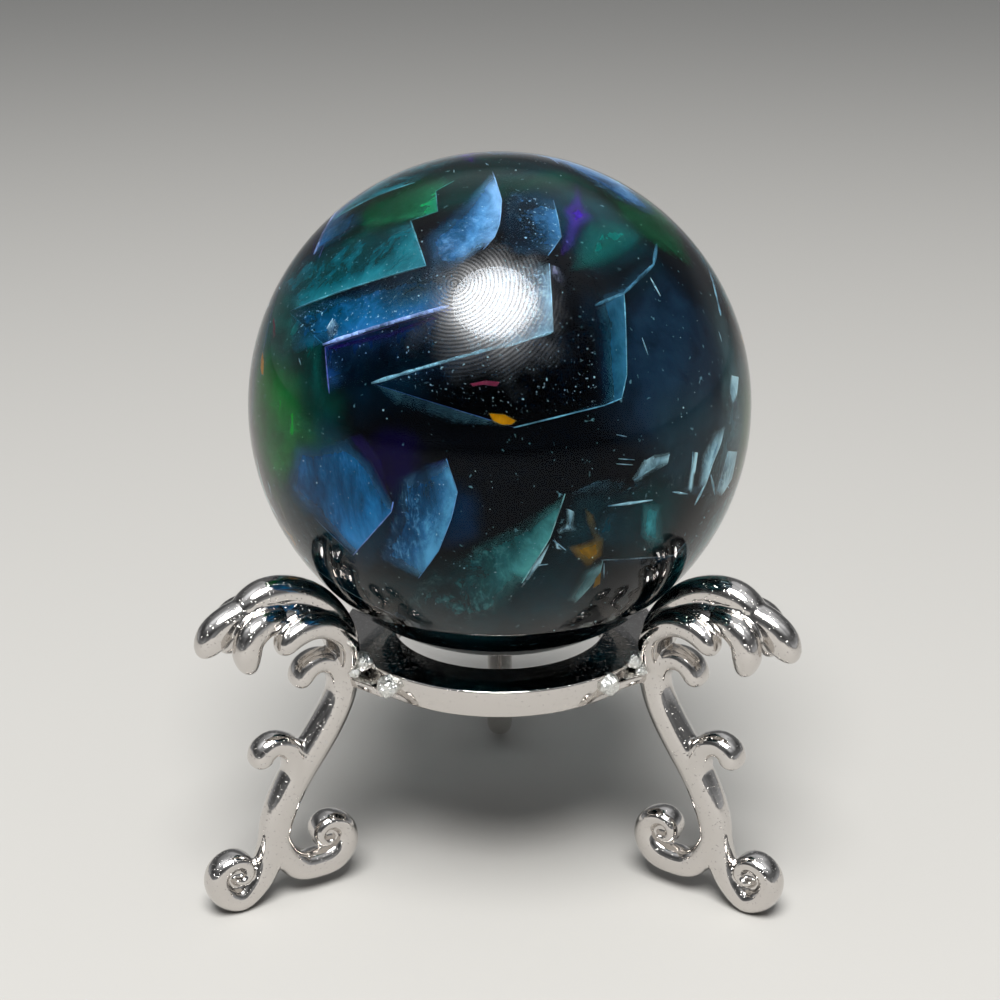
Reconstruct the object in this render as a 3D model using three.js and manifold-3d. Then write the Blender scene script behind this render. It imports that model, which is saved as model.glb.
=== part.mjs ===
// A polished fluorite sphere resting in a three-legged scrollwork stand of plated zinc.
// Millimetres, +Z up. The feet rest on Z = 0 and the front is towards -Y.
// A leg is drawn once in its own upright plane: X runs outward from the stand's axis,
// Y across the casting, Z up. Three copies stand a third of a turn apart.

import * as THREE from 'three';
import Module from 'manifold-3d';
import { mergeVertices } from 'three/addons/utils/BufferGeometryUtils.js';

const wasm = await Module();
wasm.setup();

// Driving dimensions
const SPHERE_RADIUS = 25;
const SPHERE_CENTRE_Z = 48.6;
const TOUCH_GAP = 0.3;

const RING_TOP_Z = 24.8;
const RING_THICKNESS = 3.1;
const RING_RADIUS = 16.3;
const RING_DRAFT = 0.6;
const RING_HOLE_RADIUS = 10.9;
const RING_CHAMFER = 0.25;

const BAR_THICKNESS = 3.0;
const SQUARENESS = 3.2;
const TAB_Z = 22.7;
const TAB_HEIGHT = 0.9;
const TAB_DEPTH = 1.0;
const TAB_SHAFT_WIDTH = 2.4;
const TAB_RING_WIDTH = 10.4;
const SOLDER_SIZE = 2.1;
const SOLDER_HEIGHT = 2.4;
const FOOT_FLAT_DEPTH = 0.1;

// The legs were soldered on by hand: the right one stands closer in, leans out at the
// top and is turned towards the front, by these degrees about its tab
const LEGS = {
  leg_left: { direction: 210, inset: 0, lean: 0, twist: 0 },
  leg_right: { direction: 330, inset: 0.2, lean: 1.9, twist: -4 },
  leg_back: { direction: 90, inset: 0, lean: 0, twist: 0 },
};

const SPHERE_SEGMENTS = 32;
const RING_SEGMENTS = 48;
const BAR_SIDES = 8;
const LUMP_SIDES = 8;
const FOOT_STATIONS = 14;
const TIP_ANGLES = [0, 50];

const degrees = (angle) => angle * Math.PI / 180;

// A point of the leg's plane, moved across it by a third number where given
const at = (outward, up, across = 0) => new THREE.Vector3(outward, across, up);

// Points of a scroll: a spiral about its eye, where the angle runs from outward
// towards up and the radius follows a list of even knots
function spiral(eye, fromAngle, toAngle, radii, count) {
  const points = [];
  for (let i = 0; i < count; i += 1) {
    const part = i / (count - 1);
    const angle = degrees(THREE.MathUtils.lerp(fromAngle, toAngle, part));
    const radius = along(radii, part);
    points.push(at(eye[0] + radius * Math.cos(angle), eye[1] + radius * Math.sin(angle)));
  }
  return points;
}

// A value along a bar, read from evenly spaced knots
function along(knots, part) {
  const place = Math.min(part, 0.9999) * (knots.length - 1);
  const index = Math.floor(place);
  return THREE.MathUtils.lerp(knots[index], knots[index + 1], place - index);
}

// The sine or cosine of a circle, pushed out towards a square with round corners
const squared = (value) => Math.sign(value) * Math.abs(value) ** (2 / SQUARENESS);

// A closed bar with a rounded section that follows a line of points, or only the stretch
// of it between two of them. Width is its size in the leg's plane and thickness its size
// across, each a list of even knots along the whole line. Its last end is domed.
function bar(points, { width, thickness, first = 0, last = points.length - 1 }) {
  const line = new THREE.CatmullRomCurve3(points, false, 'centripetal');
  const whole = points.length - 1;
  const stations = [];
  for (let i = first; i <= last; i += 1) stations.push({ part: i / whole, shrink: 1 });
  if (last === whole) {
    for (const angle of TIP_ANGLES) {
      const part = 1 + (Math.sin(degrees(angle)) - 1) / whole;
      stations.push({ part, shrink: Math.cos(degrees(angle)) });
    }
    stations.splice(last - first, 1);
  }

  const across = at(0, 0, 1);
  const corner = squared(Math.cos(Math.PI / BAR_SIDES));
  const vertices = [];
  for (const { part, shrink } of stations) {
    const centre = line.getPoint(part);
    const heading = line.getTangent(part);
    const normal = new THREE.Vector3().crossVectors(across, heading).normalize();
    const side = new THREE.Vector3().crossVectors(heading, normal).normalize();
    const high = along(width, part) / 2 / corner * shrink;
    const wide = along(thickness, part) / 2 / corner * shrink;
    for (let k = 0; k < BAR_SIDES; k += 1) {
      const angle = 2 * Math.PI * (k + 0.5) / BAR_SIDES;
      vertices.push(centre.clone()
        .addScaledVector(normal, high * squared(Math.cos(angle)))
        .addScaledVector(side, wide * squared(Math.sin(angle))));
    }
  }

  const faces = [];
  const ends = vertices.length;
  const lastRing = ends - BAR_SIDES;
  vertices.push(line.getPoint(first / whole), line.getPoint(last / whole));
  for (let k = 0; k < BAR_SIDES; k += 1) {
    const next = (k + 1) % BAR_SIDES;
    for (let ring = 0; ring < lastRing; ring += BAR_SIDES) {
      faces.push(ring + k, ring + next, ring + next + BAR_SIDES);
      faces.push(ring + k, ring + next + BAR_SIDES, ring + k + BAR_SIDES);
    }
    faces.push(ends, next, k);
    faces.push(ends + 1, lastRing + k, lastRing + next);
  }
  const geometry = new THREE.BufferGeometry().setFromPoints(vertices);
  geometry.setIndex(faces);
  return geometry;
}

// Booleans on closed geometries
function solidOf(geometry) {
  const bare = geometry.clone();
  bare.deleteAttribute('normal');
  bare.deleteAttribute('uv');
  const merged = mergeVertices(bare, 1e-5);
  return new wasm.Manifold(new wasm.Mesh({
    numProp: 3,
    vertProperties: new Float32Array(merged.attributes.position.array),
    triVerts: new Uint32Array(merged.index.array),
  }));
}

function geometryOf(solid) {
  const { vertProperties, triVerts } = solid.getMesh();
  const geometry = new THREE.BufferGeometry();
  geometry.setAttribute('position', new THREE.BufferAttribute(vertProperties, 3));
  geometry.setIndex(new THREE.BufferAttribute(triVerts, 1));
  return geometry;
}

// Lines down the middle of each member of a leg.
// The shaft runs down and out in a slow double curve and rolls up as the outer foot,
// and the inner foot leaves it low down and rolls up the other way.
const SHAFT_LINE = [
  at(18.0, 24.6), at(18.2, 22.8), at(19.0, 20.6), at(20.3, 18.4), at(21.9, 16.2),
  at(23.7, 13.8), at(25.2, 11.2), at(26.1, 8.9), at(26.5, 6.9),
];
const OUTER_EYE = [30.7, 4.6];
const OUTER_FOOT = [
  ...SHAFT_LINE, at(27.2, 4.9), at(28.5, 2.9),
  ...spiral(OUTER_EYE, 264, 640, [3.1, 1.8, 1.2, 1.1, 1.0, 0.7], FOOT_STATIONS),
];
const INNER_EYE = [20.7, 6.25];
const INNER_FOOT = [
  at(26.2, 8.2), at(25.7, 5.9), at(24.8, 4.2), at(23.5, 3.2),
  ...spiral(INNER_EYE, -72, -460, [3.4, 2.1, 1.3, 1.05, 0.95, 0.7], FOOT_STATIONS),
];

// Two hooks stand off the shaft's outer side, each with its tip turned down
const MIDDLE_HOOK = [
  at(25.2, 11.2), at(24.1, 13.6), at(23.9, 15.8), at(24.7, 17.3),
  at(26.0, 17.8), at(27.1, 17.3), at(27.5, 16.4), at(27.5, 15.7),
];
const UPPER_HOOK = [
  at(19.8, 19.2), at(18.8, 21.6), at(18.6, 23.6), at(19.4, 25.2),
  at(20.8, 25.8), at(22.1, 25.4), at(22.8, 24.4), at(22.8, 23.3),
];

// The plume is an acanthus spray: a crest with a flute under it and a lobe on each
// side, and below their ends a middle leaf and two side leaves
const CREST = [
  at(18.1, 23.6), at(17.8, 25.8), at(18.1, 28.2), at(19.2, 30.4), at(20.7, 32.1),
  at(22.6, 33.3), at(24.6, 33.9), at(26.6, 33.8), at(28.0, 33.0), at(28.6, 32.0),
];
const CREST_FLUTE = [
  at(18.2, 26.0), at(19.0, 28.6), at(20.4, 30.4), at(22.2, 31.6),
  at(24.2, 32.1), at(26.0, 31.9), at(27.2, 31.1),
];
const MIDDLE_LEAF = [
  at(26.0, 32.3), at(28.3, 32.5), at(30.0, 31.9), at(31.3, 31.0),
  at(31.9, 29.8), at(31.7, 28.9),
];
const SIDE_LOBE = [
  at(18.2, 24.0, 0.4), at(18.2, 26.4, 1.5), at(18.9, 28.6, 2.4), at(20.2, 30.1, 2.9),
  at(21.9, 31.0, 3.1), at(23.7, 31.0, 3.2), at(25.3, 30.2, 3.2), at(26.2, 28.9, 3.1),
];
const SIDE_LEAF = [
  at(25.4, 32.0, 1.8), at(27.2, 32.0, 2.4), at(28.7, 31.2, 2.7),
  at(29.3, 29.9, 2.8), at(29.2, 28.5, 2.7), at(28.7, 27.4, 2.6),
];

const EVEN = [BAR_THICKNESS, BAR_THICKNESS];
const OUTER_FOOT_SIZE = {
  width: [2.9, 3.4, 3.5, 3.0, 2.5, 3.0, 2.3, 1.8, 1.6, 1.4],
  thickness: EVEN,
};
const INNER_FOOT_SIZE = { width: [2.2, 3.1, 3.6, 2.8, 1.9, 1.7, 1.6, 1.4], thickness: EVEN };
const HOOK_SIZE = { width: [2.4, 2.6, 2.5, 2.6, 2.0], thickness: [3.0, 3.0, 3.3] };

const mirrored = (points) => points.map((p) => at(p.x, p.z, -p.y));

// A rounded lump with half sizes outward, across and up
function lump(centre, outward, across, up) {
  const geometry = new THREE.SphereGeometry(1, LUMP_SIDES, LUMP_SIDES / 2);
  geometry.scale(outward, across, up);
  geometry.translate(centre.x, centre.y, centre.z);
  return geometry;
}

// Where the ring's wall stands at half the tab's width
const tabEnd = at(Math.sqrt(RING_RADIUS ** 2 - (TAB_RING_WIDTH / 2) ** 2), TAB_Z, TAB_RING_WIDTH / 2);

// The tab that carries the ring, flared in plan from the shaft along the ring's wall
function tab() {
  const half = [
    [SHAFT_LINE[0].x, TAB_SHAFT_WIDTH / 2],
    [tabEnd.x + TAB_DEPTH, tabEnd.y],
    [tabEnd.x - TAB_DEPTH, tabEnd.y],
  ].map(([outward, across]) => new THREE.Vector2(outward, across));
  const otherHalf = half.map((p) => new THREE.Vector2(p.x, -p.y)).reverse();
  const plan = new THREE.Shape([...half, ...otherHalf]);
  const geometry = new THREE.ExtrudeGeometry(plan, { depth: TAB_HEIGHT, bevelEnabled: false });
  geometry.translate(0, 0, TAB_Z);
  return geometry;
}

function legParts() {
  const footTurn = 16;
  const parts = [
    bar(OUTER_FOOT, { ...OUTER_FOOT_SIZE, last: footTurn }),
    bar(OUTER_FOOT, { ...OUTER_FOOT_SIZE, first: footTurn }),
    bar(INNER_FOOT, { ...INNER_FOOT_SIZE, last: footTurn - 7 }),
    bar(INNER_FOOT, { ...INNER_FOOT_SIZE, first: footTurn - 7 }),
    lump(at(...OUTER_EYE), 1.0, 1.2, 1.0),
    lump(at(...INNER_EYE), 1.0, 1.2, 1.0),
    bar(MIDDLE_HOOK, HOOK_SIZE),
    bar(UPPER_HOOK, HOOK_SIZE),
    bar(CREST, { width: [2.4, 2.8, 3.2, 3.2, 2.8], thickness: [3.0, 3.6, 3.8, 3.6, 3.0] }),
    bar(CREST_FLUTE, { width: [2.4, 3.0, 3.0, 2.4], thickness: [3.2, 4.4, 4.8, 4.4] }),
    bar(MIDDLE_LEAF, { width: [2.4, 3.2, 3.4, 3.0], thickness: [3.0, 3.2, 3.0, 2.4] }),
    tab(),
  ];
  const lobe = { width: [2.0, 2.3, 2.5, 2.6, 2.2], thickness: [2.0, 2.6, 3.0, 3.0] };
  const leaf = { width: [2.4, 2.8, 2.8, 1.6], thickness: [2.4, 2.8, 2.8, 1.8] };
  for (const turned of [(points) => points, mirrored]) {
    parts.push(bar(turned(SIDE_LOBE), lobe), bar(turned(SIDE_LEAF), leaf));
    const [onTab, onShaft] = turned([
      at(tabEnd.x + TOUCH_GAP, TAB_Z + TAB_HEIGHT, tabEnd.y),
      at(RING_RADIUS + TOUCH_GAP, RING_TOP_Z + TOUCH_GAP, SOLDER_SIZE * 0.7),
    ]);
    parts.push(lump(onTab, SOLDER_SIZE / 2, SOLDER_SIZE / 2, SOLDER_HEIGHT / 2));
    parts.push(lump(onShaft, SOLDER_SIZE * 0.4, SOLDER_SIZE / 2, SOLDER_HEIGHT / 2));
  }
  return parts;
}

// What a leg must stay clear of: the sphere, the ring and the table under the foot
function clearances() {
  const ball = new THREE.SphereGeometry(SPHERE_RADIUS + TOUCH_GAP, SPHERE_SEGMENTS, 16);
  ball.translate(0, 0, SPHERE_CENTRE_Z);
  const disc = new THREE.CylinderGeometry(
    RING_RADIUS + TOUCH_GAP, RING_RADIUS + TOUCH_GAP,
    RING_THICKNESS + 2 * TOUCH_GAP, RING_SEGMENTS);
  disc.rotateX(Math.PI / 2);
  disc.translate(0, 0, RING_TOP_Z - RING_THICKNESS / 2);
  const table = new THREE.BoxGeometry(100, 100, 10);
  table.translate(0, 0, -5);
  return [ball, disc, table].map(solidOf);
}

// The whole leg before it is leaned, set down and trimmed
function rawLeg() {
  const [first, ...rest] = legParts().map(solidOf);
  return geometryOf(rest.reduce((joined, part) => joined.add(part), first));
}

// A leg leaned and twisted about its tab, let down until its foot is flattened by the
// table, and trimmed clear of the sphere and the ring
function setLeg(raw, { inset, lean, twist }) {
  const pivot = at(SHAFT_LINE[0].x, TAB_Z);
  const leg = raw.clone();
  leg.translate(-pivot.x, 0, -pivot.z);
  leg.rotateY(degrees(lean));
  leg.rotateZ(degrees(twist));
  leg.translate(pivot.x - inset, 0, pivot.z);
  leg.computeBoundingBox();
  leg.translate(0, 0, -leg.boundingBox.min.z - FOOT_FLAT_DEPTH);
  return geometryOf(clearances().reduce((rest, part) => rest.subtract(part), solidOf(leg)));
}

const plated = new THREE.MeshStandardMaterial({ color: 0xc9ccd0, roughness: 0.12, metalness: 1 });
const fluorite = new THREE.MeshStandardMaterial({ color: 0x0c2f2c, roughness: 0.04, metalness: 0 });

const stand = new THREE.Group();
function place(name, geometry, material, turn = 0) {
  const mesh = new THREE.Mesh(geometry, material);
  mesh.name = name;
  mesh.rotation.z = degrees(turn);
  stand.add(mesh);
}

const sphere = new THREE.SphereGeometry(SPHERE_RADIUS, SPHERE_SEGMENTS, SPHERE_SEGMENTS / 2);
sphere.rotateX(Math.PI / 2);
sphere.translate(0, 0, SPHERE_CENTRE_Z);
place('sphere', sphere, fluorite);

const bottomZ = RING_TOP_Z - RING_THICKNESS;
const ringProfile = [
  [RING_HOLE_RADIUS, bottomZ], [RING_RADIUS - RING_DRAFT, bottomZ],
  [RING_RADIUS, RING_TOP_Z - RING_CHAMFER], [RING_RADIUS - RING_CHAMFER, RING_TOP_Z],
  [RING_HOLE_RADIUS, RING_TOP_Z], [RING_HOLE_RADIUS, bottomZ],
].map(([radius, z]) => new THREE.Vector2(radius, z));
const ring = new THREE.LatheGeometry(ringProfile, RING_SEGMENTS);
ring.rotateX(Math.PI / 2);
place('ring', ring, plated);

const raw = rawLeg();
for (const [name, setting] of Object.entries(LEGS)) {
  place(name, setLeg(raw, setting), plated, setting.direction);
}

// The origin is the middle of the underside of the whole
stand.updateMatrixWorld(true);
const middle = new THREE.Box3().setFromObject(stand, true).getCenter(new THREE.Vector3());
for (const mesh of stand.children) mesh.position.set(-middle.x, -middle.y, 0);

export default stand;
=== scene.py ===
"""A polished fluorite sphere resting in a three-legged scrollwork stand of plated zinc.

Lengths are worked in millimetres and turned to metres where a mesh is finished.
"""
import logging
import math
import random
from collections.abc import Sequence
from dataclasses import dataclass
from enum import Enum

import bmesh
import bpy
from mathutils import Matrix, Vector, noise


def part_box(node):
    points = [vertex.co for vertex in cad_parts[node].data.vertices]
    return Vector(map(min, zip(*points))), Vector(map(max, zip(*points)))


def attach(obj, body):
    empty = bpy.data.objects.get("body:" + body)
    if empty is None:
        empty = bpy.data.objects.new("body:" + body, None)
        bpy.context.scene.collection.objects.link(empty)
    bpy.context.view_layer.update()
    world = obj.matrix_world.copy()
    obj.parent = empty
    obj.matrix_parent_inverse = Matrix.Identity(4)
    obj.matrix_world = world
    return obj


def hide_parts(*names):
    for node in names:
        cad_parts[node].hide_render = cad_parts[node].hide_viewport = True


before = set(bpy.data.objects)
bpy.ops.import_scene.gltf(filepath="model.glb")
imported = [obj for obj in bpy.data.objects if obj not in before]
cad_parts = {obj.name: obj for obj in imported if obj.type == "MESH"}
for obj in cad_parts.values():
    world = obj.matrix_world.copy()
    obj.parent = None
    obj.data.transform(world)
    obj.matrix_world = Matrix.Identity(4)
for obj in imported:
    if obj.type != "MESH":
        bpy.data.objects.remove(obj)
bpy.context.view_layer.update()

MM = 0.001
LOG = logging.getLogger("scene")

# Driving sizes, in millimetres
SPHERE_RADIUS = 25.0
RING_RADIUS = 16.3
RING_DRAFT = 0.6
RING_HOLE_RADIUS = 10.9
RING_THICKNESS = 3.1
RING_EDGE = 0.28
BAR_THICKNESS = 3.0
SQUARENESS = 2.3
FOOT_FLAT_DEPTH = 0.1
TAB_Z = 22.7
TAB_HEIGHT = 0.9
TAB_DEPTH = 1.0
TAB_BITE = 0.2
TAB_SHAFT_WIDTH = 2.4
TAB_RING_WIDTH = 10.4
TAB_WALL = math.sqrt(RING_RADIUS ** 2 - (TAB_RING_WIDTH / 2) ** 2)
SOLDER_SIZE = 2.1
FLUORITE_IOR = 1.434
CORE_RADIUS = 18.2

# How far the polished skin and the film on it lie under the CAD ball's surface
SKIN_DEPTH = 0.005
FILM_DEPTH = 0.002
# How clear of the ball the castings stay
LEG_CLEARANCE = 0.01

# The photograph: the camera's place from the foot of the stand's axis, its pitch and lens
EYE_OFFSET = (0.033, -172.25, 102.617)
CAMERA_PITCH = 20.42
CAMERA_LENS = 64.8
CAMERA_SENSOR = 36

# How many degrees from the front the repeats of a face and of a colour zone stay
FACE_CLEAR = 76.0
ZONE_CLEAR = 84.0

# The finger smear: its middle and its whorl as seen from the front, and its half angle
FILM_MIDDLE = (-1.2, 9.4)
WHORL = (-4.5, 12.0)
FILM_ANGLE = 0.4

# How finely a face is cut, how wide its other sides fade and how long a ledge's lengths are
FACE_CUTS = 18
FADE_WIDTH = 1.5
LEDGE_STEP = 0.7
# How far from the ball's middle the needles start and stop and the specks are scattered
NEEDLE_SHELLS = (20.5, 20.1)
SPECK_SHELLS = (18.6, 23.5)
SPECK_COUNT = 420

Knots = Sequence[float]
Point = tuple[float, float, float]
Mesh = bmesh.types.BMesh
Piece = bpy.types.Object
Material = bpy.types.Material
Socket = bpy.types.NodeSocket


def at(outward: float, up: float, across: float = 0.0) -> Vector:
    """Returns a point of a leg's own plane, moved across it by the third number."""
    return Vector((outward, across, up))


def along(knots: Knots, part: float) -> float:
    """Reads a value from evenly spaced knots at a part between 0 and 1.

    Args:
        knots: Two or more values.
        part: Where to read, from 0 at the first knot to 1 at the last.

    Returns:
        The value, interpolated straight between knots.
    """
    place = min(max(part, 0.0), 0.9999) * (len(knots) - 1)
    index = int(place)
    return knots[index] + (knots[index + 1] - knots[index]) * (place - index)


def spiral(eye: tuple[float, float], start: float, stop: float, radii: Knots,
           count: int) -> list[Vector]:
    """Returns the points of a scroll about its eye.

    Args:
        eye: The scroll's middle, outward and up.
        start: First angle in degrees, from outward towards up.
        stop: Last angle in degrees.
        radii: Even knots of the radius along the scroll.
        count: How many points.

    Returns:
        Points in a leg's own plane.
    """
    points = []
    for i in range(count):
        part = i / (count - 1)
        angle = math.radians(start + (stop - start) * part)
        radius = along(radii, part)
        points.append(at(eye[0] + radius * math.cos(angle), eye[1] + radius * math.sin(angle)))
    return points


def mirrored(points: Sequence[Vector]) -> list[Vector]:
    """Returns the points on the other side of a leg's plane."""
    return [Vector((p.x, -p.y, p.z)) for p in points]


def curve_point(points: Sequence[Vector], place: float) -> tuple[Vector, Vector]:
    """Reads a centripetal Catmull-Rom curve.

    Args:
        points: The points it runs through.
        place: Where to read, in points from the first.

    Returns:
        The point and the heading there.
    """
    last = len(points) - 1
    index = min(max(int(place), 0), last - 1)
    part = place - index
    p1 = points[index]
    p2 = points[index + 1]
    p0 = points[index - 1] if index > 0 else 2 * p1 - p2
    p3 = points[index + 2] if index + 2 <= last else 2 * p2 - p1
    d0, d1, d2 = ((b - a).length ** 0.5 for a, b in ((p0, p1), (p1, p2), (p2, p3)))
    t1 = ((p1 - p0) / d0 - (p2 - p0) / (d0 + d1) + (p2 - p1) / d1) * d1
    t2 = ((p2 - p1) / d1 - (p3 - p1) / (d1 + d2) + (p3 - p2) / d2) * d1
    c2 = -3 * p1 + 3 * p2 - 2 * t1 - t2
    c3 = 2 * p1 - 2 * p2 + t1 + t2
    where = p1 + part * (t1 + part * (c2 + part * c3))
    heading = t1 + part * (2 * c2 + 3 * part * c3)
    return where, heading.normalized()


# Lines down the middle of each member of a leg
SHAFT_LINE = [
    at(18.0, 24.6), at(18.2, 22.8), at(19.0, 20.6), at(20.3, 18.4), at(21.9, 16.2),
    at(23.7, 13.8), at(25.2, 11.2), at(26.1, 8.9), at(26.5, 6.9),
]
OUTER_EYE = (30.7, 4.6)
OUTER_FOOT = [
    *SHAFT_LINE, at(27.2, 4.9), at(28.5, 2.9),
    *spiral(OUTER_EYE, 264, 700, [3.1, 2.3, 1.6, 1.35, 1.05, 0.65, 0.35], 18),
]
INNER_EYE = (20.7, 6.25)
INNER_FOOT = [
    at(26.2, 8.2), at(25.7, 5.9), at(24.8, 4.2), at(23.5, 3.2),
    *spiral(INNER_EYE, -72, -510, [3.4, 2.5, 1.65, 1.3, 1.0, 0.65, 0.35], 18),
]
MIDDLE_HOOK = [
    at(25.2, 11.2), at(24.1, 13.6), at(23.9, 15.8), at(24.7, 17.3),
    at(26.0, 17.8), at(27.1, 17.3), at(27.5, 16.4), at(27.5, 15.7),
]
UPPER_HOOK = [
    at(19.8, 19.2), at(18.8, 21.6), at(18.6, 23.6), at(19.4, 25.2),
    at(20.8, 25.8), at(22.1, 25.4), at(22.8, 24.4), at(22.8, 23.3),
]
CREST = [
    at(18.1, 23.6), at(17.8, 25.8), at(18.1, 28.2), at(19.2, 30.4), at(20.7, 32.1),
    at(22.6, 33.3), at(24.6, 33.9), at(26.6, 33.8), at(28.0, 33.0), at(28.6, 32.0),
]
CREST_FLUTE = [
    at(18.2, 26.0), at(19.0, 28.6), at(20.4, 30.4), at(22.2, 31.6),
    at(24.2, 32.1), at(26.0, 31.9), at(27.2, 31.1),
]
MIDDLE_LEAF = [
    at(26.0, 32.3), at(28.3, 32.5), at(30.0, 31.9), at(31.3, 31.0),
    at(31.9, 29.8), at(31.7, 28.9),
]
SIDE_LOBE = [
    at(18.2, 24.0, 0.4), at(18.2, 26.4, 1.5), at(18.9, 28.6, 2.4), at(20.2, 30.1, 2.9),
    at(21.9, 31.0, 3.1), at(23.7, 31.0, 3.2), at(25.3, 30.2, 3.2), at(26.2, 28.9, 3.1),
]
SIDE_LEAF = [
    at(25.4, 32.0, 1.8), at(27.2, 32.0, 2.4), at(28.7, 31.2, 2.7),
    at(29.3, 29.9, 2.8), at(29.2, 28.5, 2.7), at(28.7, 27.4, 2.6),
]


@dataclass
class Bar:
    """A bar with a rounded section swept along a line.

    Attributes:
        points: The line it follows.
        width: Even knots of its size in the leg's plane.
        thickness: Even knots of its size across the leg.
        sides: How many corners its section has.
        steps: How many stations it has for each point of its line.
    """

    points: Sequence[Vector]
    width: Knots
    thickness: Knots = (BAR_THICKNESS, BAR_THICKNESS)
    sides: int = 20
    steps: int = 4

    def station(self, place: float, shrink: float) -> Matrix:
        """Returns the matrix that puts a unit section on the line.

        Args:
            place: Where on the line, in points from the first.
            shrink: How much of its full size the section has.

        Returns:
            A matrix from the section's own plane to the leg.
        """
        where, heading = curve_point(self.points, place)
        part = place / (len(self.points) - 1)
        normal = at(0, 0, 1).cross(heading).normalized()
        side = heading.cross(normal).normalized()
        high = along(self.width, part) / 2 * shrink
        wide = along(self.thickness, part) / 2 * shrink
        turn = Matrix((normal, side, heading)).transposed().to_4x4()
        return Matrix.Translation(where) @ turn @ Matrix.Diagonal((high, wide, 1, 1))

    def add_to(self, bm: Mesh) -> None:
        """Adds the bar to a mesh as one closed tube with a domed last end."""
        last = len(self.points) - 1
        stations = [(i / self.steps, 1.0) for i in range((last - 1) * self.steps + 1)]
        for degrees in (15, 30, 45, 60, 75, 85):
            angle = math.radians(degrees)
            stations.append((last - 1 + math.sin(angle), math.cos(angle)))
        verts = bmesh.ops.create_circle(bm, segments=self.sides, radius=1)["verts"]
        for vert in verts:
            squared = [math.copysign(abs(c) ** (2 / SQUARENESS), c) for c in vert.co[:2]]
            vert.co = (*squared, 0)
        loop = list({edge for vert in verts for edge in vert.link_edges})
        bmesh.ops.contextual_create(bm, geom=loop)
        placed = self.station(*stations[0])
        bmesh.ops.transform(bm, matrix=placed, verts=verts)
        for station in stations[1:]:
            grown = bmesh.ops.extrude_edge_only(bm, edges=loop)["geom"]
            verts = [item for item in grown if isinstance(item, bmesh.types.BMVert)]
            loop = [item for item in grown if isinstance(item, bmesh.types.BMEdge)]
            move = self.station(*station)
            bmesh.ops.transform(bm, matrix=move @ placed.inverted(), verts=verts)
            placed = move
        bmesh.ops.contextual_create(bm, geom=loop)


@dataclass
class Lump:
    """A rounded lump with half sizes outward, across and up."""

    centre: Vector
    half: Point

    def add_to(self, bm: Mesh) -> None:
        """Adds the lump to a mesh as a closed ball."""
        matrix = Matrix.Translation(self.centre) @ Matrix.Diagonal((*self.half, 1))
        bmesh.ops.create_icosphere(bm, subdivisions=3, radius=1, matrix=matrix)


def join(bm: Mesh, other: Mesh, place: Matrix) -> None:
    """Adds another mesh, moved to a place, to a mesh.

    Args:
        bm: The mesh that grows.
        other: The mesh that is added, which is freed.
        place: How the other mesh is moved.
    """
    bmesh.ops.transform(other, matrix=place, verts=other.verts)
    mesh = bpy.data.meshes.new("part")
    other.to_mesh(mesh)
    other.free()
    bm.from_mesh(mesh)
    bpy.data.meshes.remove(mesh)


def add_object(name: str, data: bpy.types.ID) -> Piece:
    """Adds an object to the scene.

    Args:
        name: Its name.
        data: Its mesh, lamp or camera.

    Returns:
        The object.
    """
    made = bpy.data.objects.new(name, data)
    bpy.context.scene.collection.objects.link(made)
    return made


def finish_piece(name: str, bm: Mesh, material: Material) -> Piece:
    """Turns a mesh made in millimetres into a smooth object that rides on the part.

    Args:
        name: The object's name.
        bm: Its mesh, which is freed.
        material: Its finish.

    Returns:
        The object, at the origin.
    """
    bmesh.ops.transform(bm, matrix=Matrix.Scale(MM, 4), verts=bm.verts)
    bmesh.ops.recalc_face_normals(bm, faces=bm.faces)
    mesh = bpy.data.meshes.new(name)
    bm.to_mesh(mesh)
    bm.free()
    mesh.polygons.foreach_set("use_smooth", [True] * len(mesh.polygons))
    mesh.materials.append(material)
    piece = add_object(name, mesh)
    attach(piece, "root")
    return piece


def bake_modifiers(piece: Piece) -> None:
    """Replaces a piece's mesh by the result of its modifiers.

    Args:
        piece: The piece.
    """
    graph = bpy.context.evaluated_depsgraph_get()
    mesh = bpy.data.meshes.new_from_object(piece.evaluated_get(graph), depsgraph=graph)
    piece.modifiers.clear()
    piece.data = mesh
    mesh.polygons.foreach_set("use_smooth", [True] * len(mesh.polygons))


def linear(hex_colour: str) -> tuple[float, float, float, float]:
    """Turns an sRGB hex colour into the linear colour that a shader takes."""
    values = [int(hex_colour[i:i + 2], 16) / 255 for i in (1, 3, 5)]
    return (*[v / 12.92 if v <= 0.04045 else ((v + 0.055) / 1.055) ** 2.4 for v in values], 1.0)


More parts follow.
